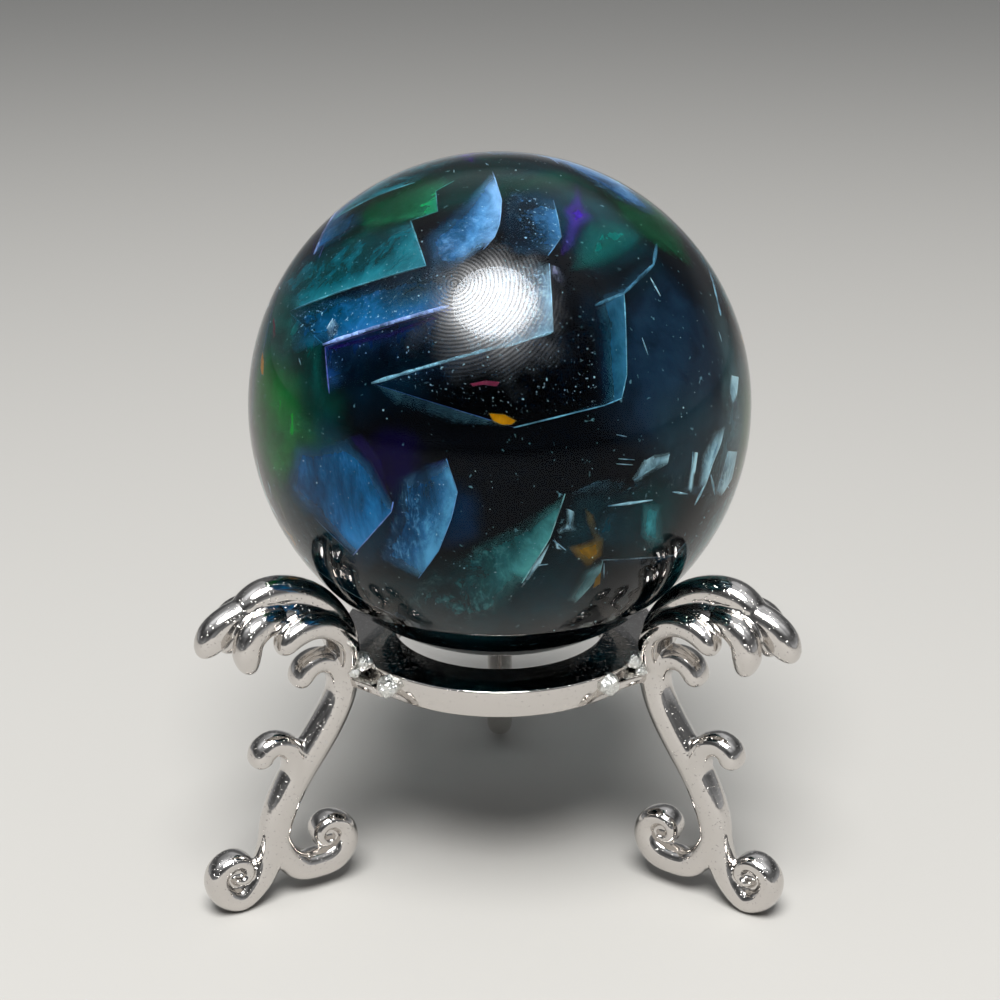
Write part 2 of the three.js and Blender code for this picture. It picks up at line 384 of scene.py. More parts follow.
@dataclass(frozen=True)
class Shading:
    """The nodes of a material or of a world, being laid out."""

    owner: Material | bpy.types.World

    @classmethod
    def start(cls, owner: Material | bpy.types.World) -> "Shading":
        """Starts on an emptied node tree.

        Args:
            owner: The material or world whose tree it is.

        Returns:
            The shading, without nodes.
        """
        owner.use_nodes = True
        owner.node_tree.nodes.clear()
        return cls(owner)

    def add(self, kind: str, settings: dict | None = None, **inputs: object) -> bpy.types.Node:
        """Adds a shader node with its settings, values and links.

        Args:
            kind: Its type without the leading "ShaderNode".
            settings: Attributes to set on it.
            **inputs: A value, or an output socket to link, for each input. An underscore in
                a name stands for a space, and a name like "i0" is the input's number.

        Returns:
            The node.
        """
        tree = self.owner.node_tree
        made = tree.nodes.new(f"ShaderNode{kind}")
        for key, value in (settings or {}).items():
            setattr(made, key, value)
        for key, value in inputs.items():
            numbered = key[0] == "i" and key[1:].isdigit()
            socket = made.inputs[int(key[1:]) if numbered else key.replace("_", " ")]
            if isinstance(value, Socket):
                tree.links.new(value, socket)
            else:
                socket.default_value = value
        return made

    def place(self) -> Socket:
        """Returns the place on the object, in metres."""
        return self.add("TexCoord").outputs["Object"]

    def moved(self, where: Socket, **inputs: object) -> Socket:
        """Returns a place moved, turned or stretched."""
        return self.add("Mapping", Vector=where, **inputs).outputs["Vector"]

    def attribute(self, name: str, output: str = "Fac") -> Socket:
        """Returns what the mesh's vertices carry under a name."""
        return self.add("Attribute", {"attribute_name": name}).outputs[output]

    def noise(self, where: Socket, scale: float, **inputs: float) -> Socket:
        """Returns noise, at a scale per metre."""
        return self.add("TexNoise", Vector=where, Scale=scale, **inputs).outputs["Fac"]

    def ramp(self, value: Socket, start: float, stop: float, low: float = 0.0,
             high: float = 1.0, kind: str = "LINEAR") -> Socket:
        """Returns what runs from low to high as a value runs from start to stop."""
        return self.add("MapRange", {"interpolation_type": kind}, Value=value, From_Min=start,
                        From_Max=stop, To_Min=low, To_Max=high).outputs[0]

    def times(self, first: Socket, second: Socket, clamped: bool = False) -> Socket:
        """Returns the product of two values."""
        settings = {"operation": "MULTIPLY", "use_clamp": clamped}
        return self.add("Math", settings, i0=first, i1=second).outputs[0]

    def vector(self, operation: str, *terms: object) -> bpy.types.NodeOutputs:
        """Returns the outputs of a sum on vectors."""
        inputs = {f"i{number}": term for number, term in enumerate(terms)}
        return self.add("VectorMath", {"operation": operation}, **inputs).outputs

    def scaled(self, colour: object, share: Socket) -> Socket:
        """Returns a colour made darker or lighter."""
        return self.add("VectorMath", {"operation": "SCALE"}, i0=colour, Scale=share).outputs[0]

    def mixed(self, share: Socket, first: object, second: object) -> Socket:
        """Returns a mixture of two colours."""
        return self.add("Mix", {"data_type": "RGBA"}, Factor=share, A=first,
                        B=second).outputs["Result"]

    def bumped(self, height: Socket, strength: float, distance: float, **inputs: Socket) -> Socket:
        """Returns the normal of a surface with a relief."""
        return self.add("Bump", Strength=strength, Distance=distance, Height=height,
                        **inputs).outputs["Normal"]

    def shade(self, **inputs: object) -> Material:
        """Closes the material with its shader and returns it."""
        shader = self.add("BsdfPrincipled", **inputs)
        self.add("OutputMaterial", Surface=shader.outputs["BSDF"])
        return self.owner

    def matt(self, colour: Socket, **inputs: object) -> Material:
        """Closes the material as buried mineral, which has no shine of its own."""
        return self.shade(Base_Color=colour, Specular_IOR_Level=0.0, **inputs)


def blotched(name: str, dark: str, light: str, scale: float) -> Material:
    """Returns a matt finish that wanders between two colours.

    Args:
        name: Its name.
        dark: The darker colour.
        light: The lighter colour.
        scale: The scale of the noise, per metre.

    Returns:
        The material.
    """
    shading = Shading.start(bpy.data.materials.new(name))
    grain = shading.noise(shading.place(), scale, Detail=3.0)
    tone = shading.mixed(shading.ramp(grain, 0.35, 0.65), linear(dark), linear(light))
    return shading.matt(tone, Roughness=0.8)


@dataclass
class StandFrame:
    """Where the stand's axis and the sphere stand in the part's frame, in millimetres."""

    axis: Vector
    sphere_centre: Vector

    @classmethod
    def from_cad(cls) -> "StandFrame":
        """Reads the places from the CAD ring and sphere."""
        (x0, y0, _), (x1, y1, top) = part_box("ring")
        (_, _, low), (_, _, high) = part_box("sphere")
        axis = Vector(((x0 + x1) / 2, (y0 + y1) / 2, top)) / MM
        return cls(axis, Vector((axis.x, axis.y, (low + high) / 2 / MM)))

    @property
    def eye(self) -> Vector:
        """Returns where the object is photographed from."""
        return self.axis.xy.to_3d() + Vector(EYE_OFFSET)

    def towards(self, direction: float) -> Matrix:
        """Returns the move from a leg's own plane to its place about the axis."""
        return Matrix.Translation(self.axis.xy.to_3d()) @ Matrix.Rotation(direction, 4, "Z")


class Side(Enum):
    """The three legs by node name, each with its direction about the stand's axis."""

    LEFT = ("leg_left", 210.0)
    RIGHT = ("leg_right", 330.0)
    BACK = ("leg_back", 90.0)

    @property
    def node(self) -> str:
        """Returns the CAD node's name."""
        return self.value[0]

    @property
    def direction(self) -> float:
        """Returns the leg's direction in radians."""
        return math.radians(self.value[1])


@dataclass(frozen=True)
class Setting:
    """How a leg was set by hand: moved in, leaned out at the top and twisted, in degrees."""

    inset: float = 0.0
    lean: float = 0.0
    twist: float = 0.0

    def matrix(self) -> Matrix:
        """Returns the move about the point where the tab meets the shaft."""
        pivot = at(SHAFT_LINE[0].x, TAB_Z)
        turn = Matrix.Rotation(math.radians(self.twist), 4, "Z")
        turn = turn @ Matrix.Rotation(math.radians(self.lean), 4, "Y")
        back = Matrix.Translation(pivot - at(self.inset, 0))
        return back @ turn @ Matrix.Translation(-pivot)


SETTINGS = {
    Side.LEFT: Setting(),
    Side.RIGHT: Setting(inset=0.2, lean=1.9, twist=-4.0),
    Side.BACK: Setting(),
}


@dataclass
class Leg:
    """A cast leg: two scrolled feet, two hooks, a leaf spray and a tab.

    Attributes:
        side: Which leg it is.
        stand: Where the stand's axis is.
        voxel: Size of the grid that blends its members into one casting, in millimetres.
    """

    side: Side
    stand: StandFrame
    voxel: float = 0.16

    def members(self) -> list[Bar | Lump]:
        """Returns the bars and lumps that make up the casting, in the leg's own plane."""
        hook = {"width": (2.4, 2.6, 2.5, 2.6, 2.0), "thickness": (3.0, 3.0, 3.3)}
        lobe = {"width": (2.0, 2.3, 2.5, 2.6, 2.2), "thickness": (2.0, 2.6, 3.0, 3.0)}
        leaf = {"width": (2.4, 2.8, 2.8, 1.6), "thickness": (2.4, 2.8, 2.8, 1.8)}
        members: list[Bar | Lump] = [
            Bar(OUTER_FOOT, (2.9, 3.4, 3.5, 2.9, 2.5, 2.1, 1.7, 1.35, 1.1, 0.9)),
            Bar(INNER_FOOT, (2.2, 3.1, 3.4, 2.4, 1.85, 1.5, 1.2, 1.0, 0.85)),
            Lump(at(*OUTER_EYE), (2.1, 0.7, 2.1)),
            Lump(at(*INNER_EYE), (1.7, 0.7, 1.7)),
            Bar(MIDDLE_HOOK, **hook),
            Bar(UPPER_HOOK, **hook),
            Bar(CREST, (2.4, 2.8, 3.2, 3.2, 2.8), (3.0, 3.6, 3.8, 3.6, 3.0)),
            Bar(CREST_FLUTE, (2.4, 3.0, 3.0, 2.4), (3.2, 4.4, 4.8, 4.4)),
            Bar(MIDDLE_LEAF, (2.4, 3.2, 3.4, 3.0), (3.0, 3.2, 3.0, 2.4)),
        ]
        for turned in (list, mirrored):
            members.append(Bar(turned(SIDE_LOBE), **lobe))
            members.append(Bar(turned(SIDE_LEAF), **leaf))
        return members

    def tab(self, bm: Mesh) -> None:
        """Adds the tab that flares in plan from the shaft along the ring's wall."""
        half = TAB_RING_WIDTH / 2
        plan = [(SHAFT_LINE[0].x, TAB_SHAFT_WIDTH / 2), (TAB_WALL + TAB_DEPTH, half),
                (TAB_WALL - TAB_BITE, half)]
        nose = (RING_RADIUS - TAB_BITE, 0.0)
        outline = [*plan, nose, *[(x, -y) for x, y in reversed(plan)]]
        verts = [bm.verts.new((x, y, TAB_Z)) for x, y in outline]
        face = bm.faces.new(verts)
        grown = bmesh.ops.extrude_face_region(bm, geom=[face])["geom"]
        top = [item for item in grown if isinstance(item, bmesh.types.BMVert)]
        bmesh.ops.translate(bm, verts=top, vec=(0, 0, TAB_HEIGHT))
        edges = [edge for edge in bm.edges if edge.verts[0] in verts + top]
        bmesh.ops.bevel(bm, geom=edges, offset=0.15, segments=2, profile=0.5,
                        affect="EDGES", material=-1)

    def cast(self, material: Material) -> Piece:
        """Blends the members into one smooth casting.

        Args:
            material: The casting's finish.

        Returns:
            The casting in the leg's own plane, in metres.
        """
        bm = bmesh.new()
        for member in self.members():
            member.add_to(bm)
        piece = finish_piece(self.side.node + "_casting", bm, material)
        remesh = piece.modifiers.new("blend", "REMESH")
        remesh.mode = "VOXEL"
        remesh.voxel_size = self.voxel * MM
        smooth = piece.modifiers.new("soften", "SMOOTH")
        smooth.factor = 0.5
        smooth.iterations = 3
        bake_modifiers(piece)
        return piece

    def build(self, plating: Material) -> Piece:
        """Makes the leg, sets it in the stand and trims its seat, ring wall and foot.

        Args:
            plating: The casting's finish.

        Returns:
            The finished leg.
        """
        piece = self.cast(plating)
        bm = bmesh.new()
        bm.from_mesh(piece.data)
        bmesh.ops.scale(bm, vec=(1 / MM,) * 3, verts=bm.verts)
        tab = bmesh.new()
        self.tab(tab)
        join(bm, tab, Matrix())
        bmesh.ops.transform(bm, matrix=SETTINGS[self.side].matrix(), verts=bm.verts)
        low = min(vert.co.z for vert in bm.verts)
        bmesh.ops.translate(bm, verts=bm.verts, vec=(0, 0, -low - FOOT_FLAT_DEPTH))
        centre = at(0, self.stand.sphere_centre.z)
        for vert in bm.verts:
            reach = vert.co - centre
            if reach.length < SPHERE_RADIUS + LEG_CLEARANCE:
                vert.co = centre + reach.normalized() * (SPHERE_RADIUS + LEG_CLEARANCE)
            vert.co.z = max(vert.co.z, 0.0)
        place = Matrix.Scale(MM, 4) @ self.stand.towards(self.side.direction)
        bmesh.ops.transform(bm, matrix=place, verts=bm.verts)
        low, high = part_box(self.side.node)
        for vert in bm.verts:
            vert.co = [min(max(c, a), b) for c, a, b in zip(vert.co, low, high)]
        for face in bm.faces:
            face.smooth = True
        bm.to_mesh(piece.data)
        bm.free()
        piece.name = self.side.node + "_cast"
        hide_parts(self.side.node)
        return piece


@dataclass
class Ring:
    """The flat ring that the legs are soldered to."""

    stand: StandFrame
    segments: int = 160

    def build(self, plating: Material) -> Piece:
        """Spins the ring's section about the stand's axis.

        Args:
            plating: The ring's finish.

        Returns:
            The ring.
        """
        top = self.stand.axis.z
        low = top - RING_THICKNESS
        outline = [
            (RING_HOLE_RADIUS, low), (RING_RADIUS - RING_DRAFT, low),
            (RING_RADIUS, top), (RING_HOLE_RADIUS, top),
        ]
        bm = bmesh.new()
        verts = [bm.verts.new((radius, 0, z)) for radius, z in outline]
        edges = [bm.edges.new((verts[i - 1], verts[i])) for i in range(4)]
        bmesh.ops.spin(bm, geom=[*verts, *edges], cent=(0, 0, 0), axis=(0, 0, 1),
                       angle=math.tau, steps=self.segments, use_merge=True)
        rims = [edge for edge in bm.edges if abs(edge.verts[0].co.z - edge.verts[1].co.z) < 1e-6
                and abs(edge.verts[0].co.xy.length - edge.verts[1].co.xy.length) < 1e-3]
        bmesh.ops.bevel(bm, geom=rims, offset=RING_EDGE, segments=3, profile=0.5,
                        affect="EDGES", material=-1)
        bmesh.ops.translate(bm, verts=bm.verts, vec=(self.stand.axis.x, self.stand.axis.y, 0))
        piece = finish_piece("ring_flat", bm, plating)
        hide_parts("ring")
        return piece


# Where a leg's beads of solder sit on one side of its plane, and their share of the full size
BEADS = [
    (at(TAB_WALL + 0.3, 23.55, TAB_RING_WIDTH / 2), 1.0),
    (at(16.6, 24.9, 1.5), 0.85),
    (at(17.5, 23.9, 1.4), 0.6),
]


@dataclass
class Solder:
    """The rough beads of solder that hold a leg's tab to the ring and to the shaft."""

    side: Side
    stand: StandFrame

    def build(self, finish: Material) -> Piece:
        """Makes the beads of one leg.

        Args:
            finish: Their finish.

        Returns:
            The beads, as one piece.
        """
        bm = bmesh.new()
        for turned in (mirrored, list):
            for spot, scale in BEADS:
                centre = turned([spot])[0]
                bead = Matrix.Translation(centre) @ Matrix.Scale(SOLDER_SIZE / 2 * scale, 4)
                made = bmesh.ops.create_icosphere(bm, subdivisions=5, radius=1, matrix=bead)
                for vert in made["verts"]:
                    out = (vert.co - centre).normalized()
                    crumbs = noise.noise(vert.co * 1.3) * 0.3 + noise.noise(vert.co * 4.2) * 0.14
                    vert.co += out * (crumbs + noise.noise(vert.co * 9.0) * 0.05)
        place = self.stand.towards(self.side.direction) @ SETTINGS[self.side].matrix()
        bmesh.ops.transform(bm, matrix=place, verts=bm.verts)
        return finish_piece(self.side.node + "_solder", bm, finish)


@dataclass(frozen=True)
class Plating:
    """Bright zinc plate over a die casting: mirror-like with soft casting ripple, its grey tinted
    warm as painted reflection.
    """

    name: str = "plated zinc, bright"
    # A zinc grey with a warm cast that is painted reflection of brown wood
    colour: str = "#d1cdc9"
    roughness: float = 0.07

    def build(self) -> Material:
        """Returns the material."""
        shading = Shading.start(bpy.data.materials.new(self.name))
        place = shading.place()
        ripple = shading.bumped(shading.noise(place, 420.0, Detail=3.0), 0.25, 0.00006)
        pits = shading.ramp(shading.noise(place, 3800.0, Detail=1.0), 0.66, 0.74)
        relief = shading.bumped(pits, 0.5, 0.00005, Normal=ripple)
        rough = shading.ramp(shading.noise(place, 900.0, Detail=4.0), 0.35, 0.8,
                             self.roughness * 0.6, self.roughness * 2)
        return shading.shade(Base_Color=linear(self.colour), Metallic=1.0, Roughness=rough,
                             Normal=relief)


@dataclass(frozen=True)
class SolderFinish:
    """Bright tin solder that set rough and frosted."""

    name: str = "tin solder, frosted"
    colour: str = "#e6e7e4"

    def build(self) -> Material:
        """Returns the material."""
        shading = Shading.start(bpy.data.materials.new(self.name))
        grain = shading.noise(shading.place(), 2600.0, Detail=4.0)
        rough = shading.ramp(grain, 0.0, 1.0, 0.22, 0.5)
        return shading.shade(Base_Color=linear(self.colour), Metallic=1.0, Roughness=rough,
                             Normal=shading.bumped(grain, 0.7, 0.0002))


@dataclass(frozen=True)
class Sight:
    """Lines of sight into the ball from the front, bent where they enter it.

    Attributes:
        eye: Where the ball is looked at from, in the part's frame.
        centre: The ball's middle.
    """

    eye: Vector
    centre: Vector

    def line(self, right: float, up: float) -> tuple[Vector, Vector]:
        """Follows a line of sight into the ball.

        Args:
            right: How far right of the middle it is aimed; 25 mm is the ball's rim.
            up: How far above the middle.

        Returns:
            Where it enters, measured from the ball's middle, and its heading inside.
        """
        ahead = self.centre - self.eye
        far = ahead.length
        ahead.normalize()
        sideways = ahead.cross(Vector((0, 0, 1))).normalized()
        above = sideways.cross(ahead)
        grown = 1 / math.sqrt(1 - (SPHERE_RADIUS / far) ** 2)
        heading = (ahead * far + (sideways * right + above * up) * grown).normalized()
        start = self.eye - self.centre
        nearest = start.dot(heading)
        root = nearest ** 2 - start.length_squared + SPHERE_RADIUS ** 2
        entry = start + heading * (-nearest - math.sqrt(max(root, 0.0)))
        normal = entry.normalized()
        cosine = -normal.dot(heading)
        inside = math.sqrt(1 - (1 - cosine ** 2) / FLUORITE_IOR ** 2)
        bent = heading / FLUORITE_IOR + normal * (cosine / FLUORITE_IOR - inside)
        return entry, bent.normalized()

    def on_shell(self, right: float, up: float, radius: float) -> Vector:
        """Follows a line of sight to a shell about the ball's middle.

        Args:
            right: How far right of the middle it is aimed.
            up: How far above the middle.
            radius: The shell's radius.

        Returns:
            Where they meet, measured from the ball's middle.
        """
        entry, bent = self.line(right, up)
        nearest = entry.dot(bent)
        root = nearest ** 2 - SPHERE_RADIUS ** 2 + radius ** 2
        return entry + bent * (-nearest - math.sqrt(max(root, 0.0)))

    def on_plane(self, right: float, up: float, normal: Vector, depth: float) -> Vector:
        """Returns where a line of sight meets a plane that lies a depth from the middle."""
        entry, bent = self.line(right, up)
        return entry + bent * ((depth - entry.dot(normal)) / bent.dot(normal))


@dataclass(frozen=True)
class Growth:
    """A face of buried fluorite growth: coloured, veiled and dusted with fine inclusions.

    Attributes:
        edge: Colour along the sides that catch the light, a painted highlight.
        body: Colour away from them, darker further from them as painted shade.
        cover: How much of what lies behind it hides, from 0 to 1.
        veil: How much pale haze lies on it.
        dust: How many white specks lie on it.
    """

    edge: str
    body: str
    cover: float = 0.9
    veil: float = 0.3
    dust: float = 0.3

    def build(self, name: str) -> Material:
        """Returns the material, which reads the face's "glow" and "cover" attributes."""
        shading = Shading.start(bpy.data.materials.new(name))
        place = shading.place()
        glow = shading.attribute("glow")
        drawn = shading.moved(place, Rotation=(0.5, 0.3, 0.0), Scale=(1.0, 1.0, 0.4))
        cloud = shading.noise(drawn, 420.0, Detail=6.0, Roughness=0.66, Distortion=0.5)
        patchy = shading.ramp(cloud, 0.3, 0.7, 0.3, 1.4)
        # Painted highlight along the sides that catch the light, painted shade away from them
        lit = shading.times(glow, patchy, clamped=True)
        dimmed = shading.times(shading.ramp(glow, 0.0, 0.3, 0.4), patchy)
        body = shading.scaled(linear(self.body)[:3], dimmed)
        tone = shading.mixed(lit, body, linear(self.edge))
        wisp = shading.noise(drawn, 1300.0, Detail=6.0, Roughness=0.7, Distortion=1.4)
        haze = shading.ramp(shading.times(wisp, cloud), 0.25, 0.4, 0.0, self.veil)
        hazed = shading.mixed(haze, tone, linear(self.edge))
        fine = shading.noise(place, 3600.0, Detail=2.0)
        specks = shading.ramp(fine, 0.76 - 0.12 * self.dust, 0.84 - 0.1 * self.dust, 0.0, 0.8)
        dusted = shading.mixed(specks, hazed, linear("#cfe4f2"))
        hidden = shading.ramp(cloud, 0.25, 0.7, self.cover * 0.85, min(self.cover * 1.1, 1.0))
        shown = shading.times(hidden, shading.attribute("cover"))
        return shading.matt(dusted, Roughness=0.8, Alpha=shown)


class Tint(Enum):
    """The growth finishes seen in the ball."""

    PINE = Growth("#208464", "#007c4c", 0.75, 0.3, 0.3)
    SEA = Growth("#2c7c8c", "#006674", 0.9, 0.6, 0.6)
    LAGOON = Growth("#3070b0", "#005a84", 0.97, 0.5, 0.9)
    PANEL = Growth("#0a5c5c", "#005e58", 0.85, 0.5, 0.4)
    INK = Growth("#1c3c74", "#001a26", 0.97, 0.15, 0.6)
    NIGHT = Growth("#12283e", "#000208", 0.97, 0.2, 0.8)
    STEEL = Growth("#30627e", "#002034", 0.9, 0.35, 0.3)
    COAL = Growth("#223c50", "#000306", 0.96, 0.1, 0.2)
    ICE = Growth("#94b4e4", "#186ca4", 0.98, 0.4, 0.5)
    DUSK = Growth("#3c6c98", "#001c30", 0.95, 0.6, 0.9)
    # Frosted specks, and painted glare about the key lamp's highlight
    FROST = Growth("#c0d8f4", "#2c5078", 0.7, 0.9, 1.6)
    AZURE = Growth("#3888c4", "#0078bc", 0.98, 0.3, 0.3)
    COBALT = Growth("#64a4d0", "#004c84", 0.98, 0.9, 0.5)
    DEEP = Growth("#0e4c5c", "#001c24", 0.85, 0.5, 0.4)
    TEAL = Growth("#68b8b8", "#004a54", 0.97, 0.35, 0.4)
    MIST = Growth("#9cbcc0", "#305c60", 1.0, 0.5, 0.3)
    HAZE = Growth("#4c7088", "#04141e", 0.35, 0.9, 0.9)
    FLAKE = Growth("#e0f0fa", "#88a8bc", 1.0, 0.9, 1.0)
    RUST = Growth("#d08c20", "#8c5804", 0.98, 0.7, 0.0)
    AMBER = Growth("#d8860c", "#945804", 1.0, 0.3, 0.0)
    RUBY = Growth("#943048", "#4c1428", 0.9, 0.6, 0.0)
    BLUSH = Growth("#8c8098", "#302c44", 0.8, 0.8, 0.8)
    PLUM = Growth("#220a5c", "#0a0028", 0.8, 0.3, 0.0)
    FOG = Growth("#7c98a0", "#3c5c64", 0.7, 0.9, 0.8)
    VIOLET = Growth("#5a14b4", "#28006c", 0.85, 0.5, 0.0)
    MOSS = Growth("#008430", "#006424", 0.8, 0.5, 0.4)
    GLOW = Growth("#50b4bc", "#045058", 0.85, 0.8, 0.0)


@dataclass(frozen=True)
class GrowthFace:
    """A flat face of an earlier stage of the crystal, sealed in the ball.

    Attributes:
        name: What it is called.
        tint: Its finish.
        depth: How far its plane lies from the ball's middle.
        bright: The numbers of the sides that catch the light.
        outline: Its corners as seen from the front: for each, how far right of and how
            far above the ball's middle it is.
        reach: How far the light reaches in from the bright sides.
        ledge: How thick the bright sides are, or 0 for none.
        line: The colour of the bright sides, a painted highlight.
    """

    name: str
    tint: Tint
    depth: float
    bright: Sequence[int]
    outline: Sequence[float]
    reach: float = 0.8
    ledge: float = 0.0
    line: str = "#000000"

    def corners(self, sight: Sight) -> list[Vector]:
        """Places its corners where they show as they do in the outline.

        Args:
            sight: How the ball is seen from the front.

        Returns:
            The corners in order, measured from the ball's middle.
        """
        spots = list(zip(self.outline[::2], self.outline[1::2]))
        middle = sum((sight.on_shell(x, y, self.depth) for x, y in spots), Vector())
        return [sight.on_plane(x, y, middle.normalized(), self.depth) for x, y in spots]

    def face(self, corners: Sequence[Vector]) -> Mesh:
        """Makes the face, finely divided, with its glow and cover.

        Args:
            corners: Its corners in order.

        Returns:
            Its mesh.
        """
        bm = bmesh.new()
        glow = bm.verts.layers.float.new("glow")
        cover = bm.verts.layers.float.new("cover")
        verts = [bm.verts.new(corner) for corner in corners]
        outline = [bm.edges.new((verts[i - 1], verts[i])) for i in range(len(verts))]
        bmesh.ops.triangle_fill(bm, use_beauty=True, edges=outline)
        bmesh.ops.subdivide_edges(bm, edges=bm.edges, cuts=FACE_CUTS, use_grid_fill=True)
        sides = [(corners[i], corners[(i + 1) % len(corners)]) for i in range(len(corners))]
        size = max((corner - corners[0]).length for corner in corners)
        inner = max(min(distance_to(vert.co, *side) for side in sides) for vert in bm.verts)
        soft = inner * (0.8 if inner > 1.2 else 0.3)
        if self.bright:
            soft = min(FADE_WIDTH, size * 0.16, inner * 0.9)
        for vert in bm.verts:
            far = [distance_to(vert.co, *side) for side in sides]
            lit = min((far[i] for i in self.bright), default=self.reach * 0.7)
            dim = min(far[i] for i in range(len(far)) if i not in self.bright)
            vert[glow] = math.exp(-((lit / self.reach) ** 1.2) * 1.2)
            vert[cover] = min(dim / soft, 1.0)
        return bm

    def ledges(self, corners: Sequence[Vector]) -> Mesh:
        """Makes the slightly uneven bright sides, which are painted highlights.

        Args:
            corners: The face's corners in order.

        Returns:
            Their mesh.
        """
        bm = bmesh.new()
        tone = bm.verts.layers.float_color.new("tone")
        chance = random.Random(self.name)
        for i in self.bright if self.ledge else ():
            start, stop = corners[i], corners[(i + 1) % len(corners)]
            steps = max(int((stop - start).length / LEDGE_STEP), 2)
            points = [start.lerp(stop, k / steps) for k in range(steps + 1)]
            size = self.ledge / 2
            sizes = [size * (0.5 if k in (0, steps) else chance.uniform(0.7, 1.15))
                     for k in range(steps + 1)]
            for k in range(steps):
                add_rod(bm, points[k], points[k + 1], sizes[k], sizes[k + 1])
        for vert in bm.verts:
            vert[tone] = linear(self.line)
        return bm


def distance_to(point: Vector, start: Vector, stop: Vector) -> float:
    """Measures how far a point is from a straight side.

    Args:
        point: The point.
        start: One end of the side.
        stop: The other end.

    Returns:
        The shortest way between them.
    """
    side = stop - start
    part = min(max((point - start).dot(side) / side.length_squared, 0.0), 1.0)
    return (point - start - side * part).length


def add_rod(bm: Mesh, start: Vector, stop: Vector, first: float, last: float) -> None:
    """Adds a slim tapered rod to a mesh.

    Args:
        bm: The mesh.
        start: Where it starts.
        stop: Where it ends.
        first: Its radius at the start.
        last: Its radius at the end.
    """
    span = stop - start
    turn = span.to_track_quat("Z", "Y").to_matrix().to_4x4()
    matrix = Matrix.Translation((start + stop) / 2) @ turn
    bmesh.ops.create_cone(bm, cap_ends=True, segments=6, radius1=first, radius2=last,
                          depth=span.length, matrix=matrix)


@dataclass(frozen=True)
class Zone:
    """A patch of colour deep in the ball, or of painted reflection, by its place as seen from the
    front.
    """

    right: float
    up: float
    reach: float
    colour: str
    strength: float


